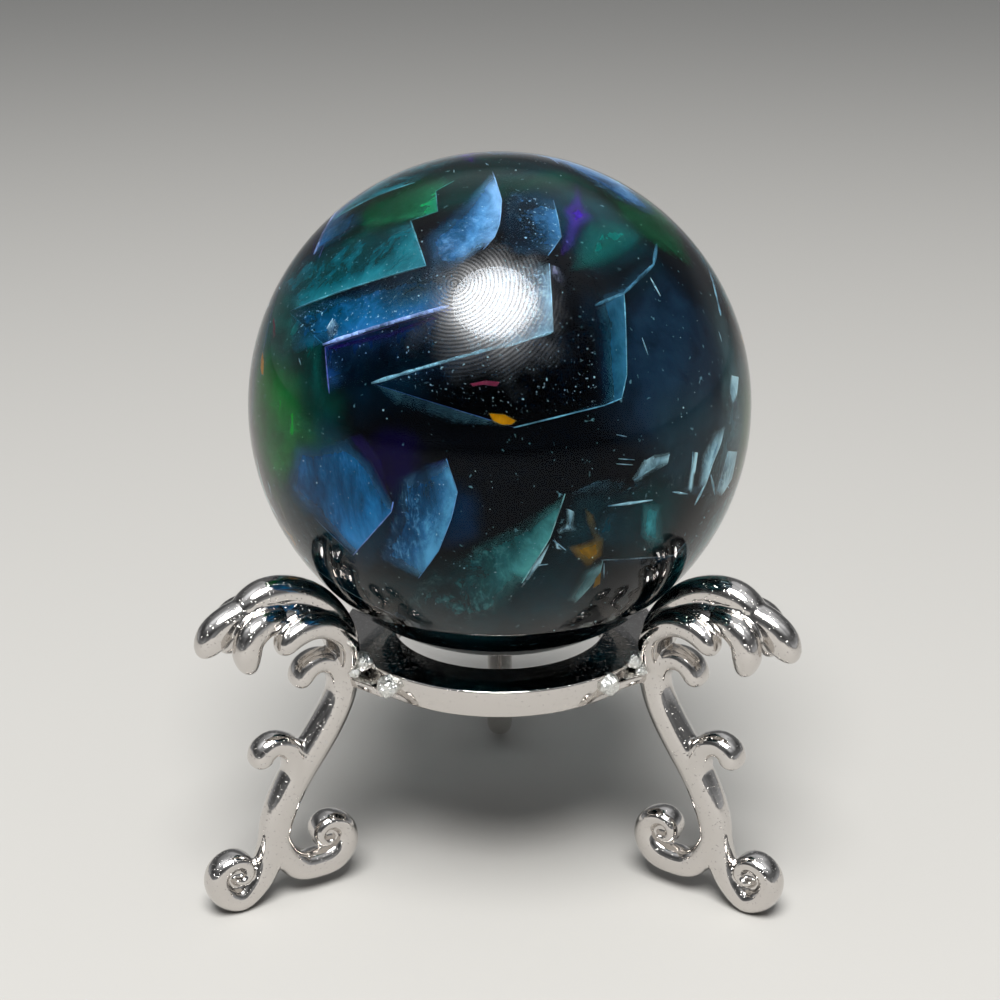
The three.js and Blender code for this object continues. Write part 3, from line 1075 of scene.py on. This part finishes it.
# Faces of buried growth, in the order of GrowthFace's fields
GROWTH_FACES = [GrowthFace(*row) for row in (
    ("step_top", Tint.PINE, 19.6, (0, 1, 2), (-8.8, 18.2, -6.1, 19.1, -6.3, 21.1, -4.5, 22.1,
     -7.5, 23.0, -11.8, 21.6, -16.1, 18.6, -12.7, 16.8), 0.8, 0.1, "#4d7f8a"),
    ("slab_green", Tint.SEA, 20.0, (0, 1), (-20.7, 9.3, -7.3, 13.8, -8.8, 18.2, -12.7, 17.5,
     -18.4, 15.3, -22.0, 11.6), 1.1, 0.17, "#5f93a4"),
    ("slab_blue", Tint.LAGOON, 19.9, (0,), (-17.5, 6.0, -5.0, 9.8, -3.9, 12.9, -4.8, 15.3, -7.3,
     13.8, -20.7, 9.3, -20.5, 5.0), 1.3, 0.36, "#a9b0ee"),
    # The spark is a painted glint
    ("spark", Tint.FROST, 20.6, (0,), (-17.1, 7.6, -16.5, 8.6, -15.7, 8.0, -16.1, 7.0, -17.0,
     6.4), 0.6, 0.16, "#dfe8fa"),
    ("left_panel", Tint.PANEL, 19.0, (0,), (-20.7, 9.1, -17.3, 5.9, -16.9, 1.0, -17.5, -2.0,
     -18.9, 0.0, -20.0, 3.7, -23.3, 5.0, -23.0, 7.6), 0.8, 0.08, "#2f6a70"),
    ("under_face", Tint.INK, 19.0, (0, 4), (-17.3, 5.8, -16.9, 1.2, -12.4, 1.9, -4.1, 4.5, -4.5,
     9.6), 0.9, 0.14, "#6a66b0"),
    ("long_face", Tint.NIGHT, 19.0, (0,), (-12.7, 2.2, 5.1, 7.2, 9.9, 10.3, 10.3, 3.3, 10.4,
     0.2, 1.5, -2.1), 0.7, 0.36, "#9cc0d8"),
    ("low_face", Tint.HAZE, 19.3, (0,), (-12.7, 2.2, 1.5, -2.2, -4.8, -2.0, -10.4, 0.0), 1.0,
     0.05, "#3a4a7a"),
    ("low_edge", Tint.STEEL, 19.5, (0, 1, 2, 3, 4), (1.4, -2.2, 10.4, 0.0, 12.1, 0.7, 12.6, 3.0,
     12.3, 11.0, 9.5, 9.9, 10.1, 3.3, 10.2, 0.4), 1.3, 0.13, "#6f98b0"),
    ("right_wing", Tint.COAL, 20.2, (0, 1, 2), (9.5, 9.9, 12.3, 11.1, 15.2, 13.9, 15.5, 15.9,
     13.4, 15.6, 10.4, 13.9, 7.5, 12.6), 0.5, 0.34, "#54809a"),
    ("wing_pale", Tint.ICE, 20.6, (0, 1, 2, 3), (-0.7, 23.0, 0.2, 20.2, 0.0, 17.9, -0.5, 16.6,
     -1.6, 15.4, -4.8, 12.8, -7.1, 13.8, -7.9, 16.3, -6.1, 17.9, -3.1, 20.6), 1.5, 0.13,
     "#9ab4e0"),
    ("wing_dark", Tint.DUSK, 20.2, (0, 1, 2), (4.8, 14.8, 6.1, 16.6, 5.8, 18.2, 5.3, 20.2, 0.5,
     21.9, 0.4, 20.2, 0.2, 17.7, -1.3, 15.4, 2.2, 14.4), 1.1, 0.12, "#7fa4c8"),
    # The frost face about the highlight is painted glare as well as frosted specks
    ("frost", Tint.FROST, 20.6, (4, 5), (-4.8, 9.6, -4.5, 12.3, -0.8, 13.9, 2.8, 14.6, 4.9,
     14.0, 5.3, 7.3, 0.5, 5.7, -3.1, 5.0), 0.8, 0.12, "#bcd4ec"),
    ("block_a", Tint.AZURE, 19.7, (2, 3), (-15.1, -3.3, -12.7, -5.6, -10.6, -9.6, -10.8, -10.6,
     -14.6, -14.9, -18.4, -11.2, -21.4, -8.2, -20.4, -3.6), 1.5, 0.12, "#7d8fd0"),
    ("block_a_low", Tint.DEEP, 19.3, (0,), (-18.4, -11.2, -14.6, -14.9, -15.1, -17.8, -18.0,
     -15.5, -20.0, -11.9), 0.8, 0.07, "#3a5a7a"),
    ("block_b", Tint.COBALT, 19.0, (0, 1, 2, 3), (-5.3, -5.3, -4.2, -8.6, -4.8, -11.2, -6.1,
     -14.5, -8.1, -17.2, -12.7, -15.2, -10.7, -10.6, -10.4, -7.3, -7.5, -5.8), 1.5, 0.1,
     "#6f98cc"),
    ("wedge", Tint.TEAL, 19.2, (0, 1), (6.5, -8.8, 5.0, -13.2, 2.2, -17.7, -0.2, -21.3, -5.5,
     -21.8, -10.1, -19.8, -7.5, -16.9, -2.8, -13.9, 2.5, -11.2), 2.0, 0.13, "#a8cfd4"),
    ("wedge_back", Tint.DEEP, 18.6, (), (6.6, -8.9, 10.4, -7.3, 14.7, -8.2, 15.2, -15.2, 10.1,
     -15.4, 7.1, -20.2, 2.2, -21.5, 0.2, -21.2, 5.1, -13.2)),
    ("fin", Tint.MIST, 20.0, (0, 1), (10.3, -15.4, 9.9, -17.0, 7.5, -19.7, 6.6, -19.5, 8.3,
     -16.5), 0.9, 0.12, "#9fbcc0"),
    ("floor_face", Tint.COAL, 19.6, (0, 1), (10.1, -15.4, 17.4, -14.9, 18.5, -13.7, 18.0, -16.5,
     14.4, -19.2, 9.8, -20.5), 0.5, 0.12, "#5c6a74"),
    ("rust", Tint.RUST, 20.2, (), (8.4, -10.1, 9.4, -10.8, 9.6, -12.2, 10.4, -13.2, 10.3, -14.9,
     8.8, -16.3, 7.6, -15.2, 6.6, -14.0, 8.1, -13.7, 9.3, -13.2, 8.6, -11.6)),
    ("rust_low", Tint.RUST, 20.2, (), (10.2, -16.4, 10.1, -17.8, 9.2, -18.3, 9.5, -17.2)),
    ("flake_a", Tint.FLAKE, 20.4, (0,), (6.6, -10.2, 7.5, -10.6, 7.4, -11.9, 7.8, -12.5, 6.6,
     -12.6, 5.8, -12.9, 5.6, -12.4, 6.6, -11.7), 0.6),
    ("flake_b", Tint.FLAKE, 20.4, (0,), (5.4, -13.2, 5.9, -14.0, 6.3, -14.4, 5.6, -14.3), 0.6),
    ("flake_c", Tint.FLAKE, 20.4, (0,), (5.1, -13.5, 4.0, -15.9, 3.1, -17.2, 2.0, -18.4, 2.5,
     -17.2, 3.6, -15.4), 0.6),
    ("flake_d", Tint.FLAKE, 20.6, (0, 5), (16.9, -4.6, 16.7, -5.9, 14.9, -6.9, 13.4, -7.8, 13.1,
     -7.3, 14.1, -5.7, 15.6, -4.8), 0.9),
    ("flake_e", Tint.FLAKE, 20.2, (0, 1, 2), (22.4, -2.0, 22.0, -3.8, 21.2, -5.8, 20.3, -8.5,
     19.6, -8.2, 20.1, -4.9, 21.3, -2.5), 0.9),
    ("flake_i", Tint.FLAKE, 20.6, (0, 1), (19.3, -4.6, 19.7, -4.7, 19.4, -6.9, 19.2, -8.6, 18.6,
     -8.5, 18.9, -6.6), 0.9),
    ("flake_j", Tint.FLAKE, 20.4, (0, 1, 2), (22.6, -4.5, 23.6, -4.6, 23.1, -7.3, 22.0, -9.1,
     21.2, -8.6, 22.0, -6.6), 0.9),
    ("flake_l", Tint.FLAKE, 20.3, (0, 1), (22.9, 3.0, 23.7, 2.8, 23.5, 0.7, 23.1, -0.3, 22.7,
     1.4), 0.9),
    ("rim_haze", Tint.FOG, 19.2, (), (21.7, 3.3, 23.7, 3.3, 24.1, -2.3, 23.4, -5.9, 21.7, -9.7,
     19.9, -11.2, 20.9, -6.3, 22.0, -2.0)),
    ("flake_k", Tint.HAZE, 20.3, (0,), (18.0, -8.2, 20.4, -7.9, 21.7, -8.6, 20.4, -9.4, 18.5,
     -9.0), 0.6),
    ("cloud_top", Tint.HAZE, 20.9, (), (-11.8, 12.3, -7.5, 13.4, -4.8, 14.6, -4.5, 10.3, -7.5,
     9.0, -11.4, 8.6)),
    ("flake_f", Tint.FLAKE, 20.2, (0,), (23.6, 3.0, 23.5, 1.0, 23.1, 0.0, 22.9, 1.7, 23.2, 2.8),
     0.6),
    ("flake_g", Tint.HAZE, 20.0, (0,), (23.8, -2.6, 23.6, -5.3, 22.4, -8.2, 21.0, -9.4, 19.2,
     -9.7, 20.4, -8.4, 22.0, -6.9, 23.0, -4.6), 0.6),
    ("flake_h", Tint.HAZE, 20.0, (0,), (18.5, -13.5, 19.1, -14.7, 18.4, -16.5, 18.0, -14.5),
     0.6),
    ("pink_bit", Tint.BLUSH, 20.8, (0,), (5.0, 13.9, 5.9, 13.6, 6.5, 12.6, 6.6, 11.6, 5.6, 12.1,
     4.8, 13.1), 0.6),
    ("amber", Tint.AMBER, 20.4, (), (-1.2, -0.7, 0.5, -0.8, 1.8, -1.5, 1.2, -2.0, 0.2, -2.0,
     -0.7, -1.6)),
    ("ruby", Tint.RUBY, 20.4, (), (-3.1, 2.2, -1.4, 2.5, 0.0, 2.4, -0.2, 1.8, -1.6, 2.0, -2.7,
     1.8)),
    ("violet_a", Tint.PLUM, 19.6, (), (-15.1, -3.1, -13.7, -2.7, -11.8, -5.3, -10.4, -9.7,
     -10.7, -10.4, -12.8, -5.8)),
    ("violet_b", Tint.PLUM, 19.2, (), (-7.5, -5.8, -5.3, -5.1, -4.2, -8.6, -6.1, -8.9, -7.1,
     -7.3)),
    ("violet_c", Tint.VIOLET, 20.7, (), (7.3, 22.1, 8.1, 21.4, 8.4, 19.9, 9.5, 18.4, 8.3, 17.5,
     7.5, 15.6, 5.8, 14.5, 6.6, 18.2, 5.9, 19.3, 7.0, 20.2)),
    ("violet_d", Tint.PLUM, 20.3, (), (-17.3, 5.7, -11.1, 7.1, -4.8, 9.4, -4.8, 9.1, -11.1, 6.7,
     -17.1, 5.4)),
    ("teal_patch", Tint.PANEL, 20.0, (), (8.4, 18.2, 11.4, 18.6, 14.7, 16.6, 13.4, 15.3, 10.1,
     13.4, 6.6, 13.1, 7.5, 15.6)),
    ("green_band", Tint.MOSS, 19.2, (), (-22.8, 4.0, -20.0, 4.0, -18.9, 0.0, -17.3, -2.9, -18.0,
     -5.3, -21.0, -6.6, -22.7, -3.6, -23.7, 0.4)),
    ("green_low", Tint.MOSS, 19.4, (), (-24.0, -2.9, -19.4, -2.3, -15.1, -3.6, -19.7, -4.8,
     -21.0, -8.4, -23.0, -7.3)),
    ("teal_glow", Tint.GLOW, 19.8, (), (14.2, -9.6, 16.2, -9.7, 16.4, -13.5, 15.1, -14.5, 13.9,
     -12.9)),
    ("band_line", Tint.HAZE, 19.2, (0,), (6.5, -9.0, 10.1, -7.3, 19.7, -6.4, 22.0, -6.9, 17.1,
     -8.4, 11.1, -8.6), 0.8),
)]

# White needles: both ends as seen from the front, right and up for each, and the size
NEEDLES = [
    (14.9, 12.6, 15.9, 10.8, 0.3), (14.1, 6.7, 14.7, 5.0, 0.2), (16.9, -4.9, 13.4, -7.4, 0.5),
    (19.2, -4.6, 19.0, -8.6, 0.35), (10.8, -10.0, 15.2, -9.4, 0.45), (21.7, -3.6, 20.5, -7.3, 0.5),
    (22.7, -4.6, 21.7, -8.6, 0.45), (20.4, -7.9, 19.4, -9.9, 0.5), (17.2, -8.6, 18.7, -8.8, 0.35),
    (21.7, 7.3, 22.0, 6.3, 0.2), (10.4, -15.7, 10.4, -17.2, 0.25), (-4.5, 23.2, -4.5, 22.9, 0.15),
    (-19.9, 4.7, -19.7, 4.0, 0.2), (21.0, -6.9, 21.4, -8.9, 0.45), (22.0, -7.3, 22.8, -8.2, 0.4),
    (11.6, -2.9, 12.6, -3.1, 0.15), (11.8, -5.3, 13.4, -5.4, 0.12), (11.6, -5.8, 13.2, -5.9, 0.12),
    (3.3, -16.0, 4.8, -15.8, 0.2), (5.3, -13.4, 6.6, -14.4, 0.25), (-7.5, 2.2, -7.0, 2.3, 0.3),
]

# Soft colours deep in the ball and patches of painted reflection, in the order of Zone's fields
ZONES = [Zone(*row) for row in (
    (-4.8, 22.5, 7.6, "#002422", 0.95), (-16.1, 16.3, 9.3, "#004c40", 0.95),
    (-22.0, 6.3, 7.9, "#004a46", 0.95), (-22.7, -1.0, 6.6, "#005a1c", 1.0),
    (-18.9, 0.0, 5.8, "#004038", 0.85), (-21.4, -6.9, 5.0, "#00582c", 0.9),
    (-17.1, -9.6, 7.9, "#00405c", 0.9), (-16.1, -17.5, 6.3, "#002a38", 0.8),
    (-11.8, 7.6, 7.9, "#003048", 0.8), (10.8, 16.9, 6.6, "#003c44", 0.9),
    # The slate greys at (17.7, 5.7), (19.0, -3.6), (23.3, 5.0) and (23.0, -3.6) are painted
    # reflection
    (3.8, 18.6, 4.3, "#00283c", 0.8), (17.7, 5.7, 10.6, "#1a2a3c", 1.0),
    (18.0, 13.6, 5.0, "#080e16", 0.8), (19.0, -3.6, 6.0, "#22343e", 0.8),
    (23.3, 5.0, 5.0, "#4c6068", 0.8), (23.0, -3.6, 4.6, "#405460", 0.7),
    (14.7, -11.9, 5.6, "#003438", 0.9), (22.0, -9.9, 3.3, "#1c100c", 0.8),
    (-4.8, -20.8, 8.3, "#002c34", 0.9), (3.8, -19.2, 7.0, "#043038", 0.9),
    (13.1, -20.2, 6.0, "#060c12", 0.8), (-11.3, -5.6, 3.0, "#08002c", 0.9),
    (-7.5, -10.9, 4.6, "#002c50", 0.7), (11.1, 7.6, 3.6, "#001420", 0.8),
)]


@dataclass
class Stone:
    """The polished ball of zoned fluorite: a clear skin over its coloured growth.

    Attributes:
        stand: Where the ball stands.
        sight: How it is seen from the front.
        turns: How far round, and how far tipped, each repeat of the growth is, in degrees.
    """

    stand: StandFrame
    sight: Sight
    turns: Sequence[tuple[float, float]] = ((93, 16), (181, -12), (272, 24), (0, 0))

    def places(self, spot: Vector, clear: float) -> list[Matrix]:
        """Returns the turns about the ball's middle that repeat a feature.

        Args:
            spot: Where the feature is in the front of the ball, from the ball's middle.
            clear: How many degrees from the front a repeat stays.

        Returns:
            The turns, with the feature's own place last.
        """
        front = (self.sight.eye - self.sight.centre).normalized()
        kept = []
        for round_by, tip in self.turns:
            turn = Matrix.Rotation(math.radians(round_by), 4, "Z")
            turn = turn @ Matrix.Rotation(math.radians(tip), 4, "Y")
            if round_by == 0 or math.degrees((turn @ spot).angle(front)) > clear:
                kept.append(turn)
        return kept

    def build(self) -> list[Piece]:
        """Makes the ball.

        Returns:
            Its pieces.
        """
        return [self.skin(), self.smear(), self.core(), *self.growth(), self.needles(),
                self.specks()]

    def skin(self) -> Piece:
        """Makes the clear polished skin, which is the ball's own surface."""
        bm = bmesh.new()
        bmesh.ops.create_uvsphere(bm, u_segments=192, v_segments=96,
                                  radius=SPHERE_RADIUS - SKIN_DEPTH,
                                  matrix=Matrix.Translation(self.stand.sphere_centre))
        shading = Shading.start(bpy.data.materials.new("fluorite, polished and clear"))
        piece = finish_piece("sphere_skin", bm, shading.shade(
            Base_Color=linear("#cdf0f2"), Roughness=0.0, IOR=FLUORITE_IOR,
            Transmission_Weight=1.0, Specular_Tint=(0.25, 0.27, 0.3, 1.0)))
        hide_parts("sphere")
        return piece

    def smear(self) -> Piece:
        """Makes the faint finger smear on the polish, a film with fine ridges."""
        way = self.sight.line(*FILM_MIDDLE)[0].normalized()
        bm = bmesh.new()
        bmesh.ops.create_uvsphere(bm, u_segments=256, v_segments=160,
                                  radius=SPHERE_RADIUS - FILM_DEPTH)
        spare = [vert for vert in bm.verts
                 if vert.co.normalized().dot(way) < math.cos(FILM_ANGLE * 1.05)]
        bmesh.ops.delete(bm, geom=spare, context="VERTS")
        cover = bm.verts.layers.float.new("cover")
        for vert in bm.verts:
            vert[cover] = 1 - min(vert.co.normalized().angle(way) / FILM_ANGLE, 1.0)
        bmesh.ops.translate(bm, verts=bm.verts, vec=self.stand.sphere_centre)
        return finish_piece("sphere_smear", bm, self.smear_finish())

    def smear_finish(self) -> Material:
        """Returns the film's finish: finger ridges in rings about the whorl, worn in patches."""
        shading = Shading.start(bpy.data.materials.new("finger smear on polish"))
        place = shading.place()
        whorl = (self.stand.sphere_centre + self.sight.line(*WHORL)[0]) * MM
        ridge = shading.add("TexWave", {"wave_type": "RINGS", "rings_direction": "SPHERICAL"},
                            Vector=shading.moved(place, Location=-whorl), Scale=880.0,
                            Distortion=2.8, Detail=1.5, Detail_Scale=0.35).outputs["Fac"]
        edge = shading.add("Math", {"operation": "MULTIPLY_ADD"},
                           i0=shading.noise(place, 480.0, Detail=4.0), i1=0.9,
                           i2=shading.attribute("cover"))
        shown = shading.times(shading.ramp(edge.outputs[0], 0.68, 1.2),
                              shading.ramp(ridge, 0.0, 1.0, 0.2, 0.62))
        return shading.shade(Base_Color=linear("#101a22"), Roughness=0.24, IOR=1.9, Alpha=shown)

    def core(self) -> Piece:
        """Makes the dark zoned heart that fills the view through the skin."""
        bm = bmesh.new()
        bmesh.ops.create_icosphere(bm, subdivisions=6, radius=CORE_RADIUS,
                                   matrix=Matrix.Translation(self.stand.sphere_centre))
        return finish_piece("sphere_heart", bm, self.core_finish())

    def core_finish(self) -> Material:
        """Returns the heart's finish: soft zones of green, blue and violet on black, and painted
        reflection in slate grey.
        """
        shading = Shading.start(bpy.data.materials.new("fluorite, zoned growth"))
        centred = shading.moved(shading.place(), Location=-self.stand.sphere_centre * MM)
        warp = shading.add("TexNoise", Vector=centred, Scale=110.0, Detail=3.0)
        shift = shading.vector("MULTIPLY_ADD", warp.outputs["Color"], (0.006,) * 3, centred)[0]
        moved = shading.vector("SUBTRACT", shift, (0.003,) * 3)[0]
        spots = [(zone, self.sight.on_shell(zone.right, zone.up, CORE_RADIUS)) for zone in ZONES]
        placed = [(zone, turn @ spot) for zone, spot in spots
                  for turn in self.places(spot, ZONE_CLEAR)[:-1]]
        colour = linear("#020306")
        for zone, spot in placed + spots:
            far = shading.vector("DISTANCE", moved, spot * MM)["Value"]
            near = shading.ramp(far, zone.reach * MM * 0.35, zone.reach * MM * 1.05,
                                zone.strength, 0.0, "SMOOTHSTEP")
            colour = shading.mixed(near, colour, linear(zone.colour))
        veil = shading.noise(moved, 330.0, Detail=5.0, Roughness=0.6)
        toned = shading.scaled(colour, shading.ramp(veil, 0.3, 0.7, 0.55, 1.3))
        fine = shading.noise(centred, 1700.0, Detail=2.0)
        dust = shading.ramp(fine, 0.69, 0.76, 0.0, 0.5)
        return shading.matt(shading.mixed(dust, toned, linear("#7fa6b4")), Roughness=0.9)

    def growth(self) -> list[Piece]:
        """Makes the growth faces and their bright sides."""
        pieces = []
        ledges = bmesh.new()
        ledges.verts.layers.float_color.new("tone")
        for face in GROWTH_FACES:
            corners = face.corners(self.sight)
            middle = sum(corners, Vector()) / len(corners)
            joined = bmesh.new()
            joined.verts.layers.float.new("glow")
            joined.verts.layers.float.new("cover")
            turns = self.places(middle, FACE_CLEAR)
            # Faces with painted glare stay only at the front, where the highlight is
            for turn in turns[-1:] if face.tint is Tint.FROST else turns:
                place = Matrix.Translation(self.stand.sphere_centre) @ turn
                join(joined, face.face(corners), place)
                join(ledges, face.ledges(corners), place)
            pieces.append(finish_piece(f"growth_{face.name}", joined,
                                       face.tint.value.build(f"fluorite growth, {face.name}")))
        pieces.append(finish_piece("growth_ledges", ledges, self.ledge_finish()))
        return pieces

    def ledge_finish(self) -> Material:
        """Returns the finish of the bright sides, painted highlights in each face's own edge
        colour.
        """
        shading = Shading.start(bpy.data.materials.new("fluorite, growth ledges"))
        grain = shading.noise(shading.place(), 420.0, Detail=3.0)
        shade = shading.ramp(grain, 0.35, 0.7, 0.35, 1.5)
        tone = shading.scaled(shading.attribute("tone", "Color"), shade)
        return shading.matt(tone, Roughness=0.8)

    def needles(self) -> Piece:
        """Makes the white needles and flakes."""
        bm = bmesh.new()
        for x0, y0, x1, y1, size in NEEDLES:
            start = self.sight.on_shell(x0, y0, NEEDLE_SHELLS[0])
            stop = self.sight.on_shell(x1, y1, NEEDLE_SHELLS[1])
            middle = start.lerp(stop, 0.45)
            for turn in self.places(middle, FACE_CLEAR):
                part = bmesh.new()
                add_rod(part, start, middle, size * 0.1, size * 0.32)
                add_rod(part, middle, stop, size * 0.32, size * 0.12)
                join(bm, part, Matrix.Translation(self.stand.sphere_centre) @ turn)
        return finish_piece("sphere_needles", bm,
                            blotched("fluorite, needle inclusions", "#5f7f94", "#c4dcea", 900.0))

    def specks(self) -> Piece:
        """Makes the pale specks scattered through the clear outer growth."""
        chance = random.Random(7)
        bm = bmesh.new()
        for _ in range(SPECK_COUNT):
            way = Vector([chance.gauss(0, 1) for _ in range(3)]).normalized()
            where = self.stand.sphere_centre + way * chance.uniform(*SPECK_SHELLS)
            size = 0.03 + 0.07 * chance.random() ** 3
            bmesh.ops.create_icosphere(bm, subdivisions=1, radius=size,
                                       matrix=Matrix.Translation(where))
        return finish_piece("sphere_specks", bm,
                            blotched("fluorite, specks", "#7fa0b0", "#dcecf2", 300.0))


# The key lamp: its place from the ball's middle and its size in metres, and its power
KEY_OFFSET = (-0.022, -0.324, 0.62)
KEY_SIZE = 0.42
KEY_POWER = 12.6
# The room's grey by height, from the horizon at 0 to straight up at 1
ROOM_GREYS = ((0.12, 0.19), (0.3, 0.07), (0.5, 0.09), (0.78, 0.55))
FLOOR_SIZE = 1.5


@dataclass
class Studio:
    """A pale floor, a soft room with a key lamp and the camera of the photograph."""

    stand: StandFrame

    def build(self) -> None:
        """Adds the floor, the lights and the camera."""
        self.floor()
        self.lights()
        self.camera()

    def floor(self) -> None:
        """Adds a plain pale floor."""
        bm = bmesh.new()
        bmesh.ops.create_grid(bm, x_segments=1, y_segments=1, size=FLOOR_SIZE)
        mesh = bpy.data.meshes.new("floor")
        bm.to_mesh(mesh)
        bm.free()
        shading = Shading.start(bpy.data.materials.new("pale paper"))
        mesh.materials.append(shading.shade(Base_Color=linear("#989692"), Roughness=0.9))
        add_object("floor", mesh)

    def lights(self) -> None:
        """Adds a soft room, dim at eye height and bright above, and the key lamp."""
        world = bpy.data.worlds.new("soft room")
        bpy.context.scene.world = world
        shading = Shading.start(world)
        way = shading.add("TexCoord").outputs["Generated"]
        panels = shading.ramp(shading.noise(way, 1.6, Detail=0.0), 0.35, 0.65, 0.85, 2.0)
        rise = shading.add("ValToRGB", Fac=shading.add("SeparateXYZ", Vector=way).outputs["Z"])
        stops = rise.color_ramp.elements
        stops[0].position, stops[0].color = 0.0, (0.28, 0.28, 0.28, 1)
        stops[1].position, stops[1].color = 1.0, (1, 1, 1, 1)
        for place, grey in ROOM_GREYS:
            stops.new(place).color = (grey, grey, grey, 1)
        light = shading.times(rise.outputs["Color"], panels)
        sky = shading.add("Background", Color=linear("#eef1f5"), Strength=light)
        shading.add("OutputWorld", Surface=sky.outputs[0])
        offset = Vector(KEY_OFFSET)
        lamp = bpy.data.lights.new("key", "AREA")
        lamp.shape = "DISK"
        lamp.size = KEY_SIZE
        lamp.energy = KEY_POWER
        holder = add_object("key", lamp)
        holder.location = self.stand.sphere_centre * MM + offset
        holder.rotation_euler = (-offset).to_track_quat("-Z", "Y").to_euler()

    def camera(self) -> None:
        """Adds the camera at the photograph's place, distance and angle."""
        view = bpy.data.cameras.new("camera")
        view.sensor_width = CAMERA_SENSOR
        view.lens = CAMERA_LENS
        camera = add_object("camera", view)
        camera.location = self.stand.eye * MM
        camera.rotation_euler = (math.radians(90 - CAMERA_PITCH), 0, 0)
        bpy.context.scene.camera = camera
        bpy.context.scene.view_settings.view_transform = "Standard"


def main() -> None:
    """Builds every piece of the object and the studio around it."""
    logging.basicConfig(level=logging.INFO, format="%(message)s")
    stand = StandFrame.from_cad()
    plating = Plating().build()
    pieces = [Ring(stand).build(plating)]
    tin = SolderFinish().build()
    for side in Side:
        pieces += [Leg(side, stand).build(plating), Solder(side, stand).build(tin)]
    pieces += Stone(stand, Sight(stand.eye, stand.sphere_centre)).build()
    for piece in pieces:
        LOG.info("%s: %d faces", piece.name, len(piece.data.polygons))
    Studio(stand).build()


if __name__ == "__main__":
    main()
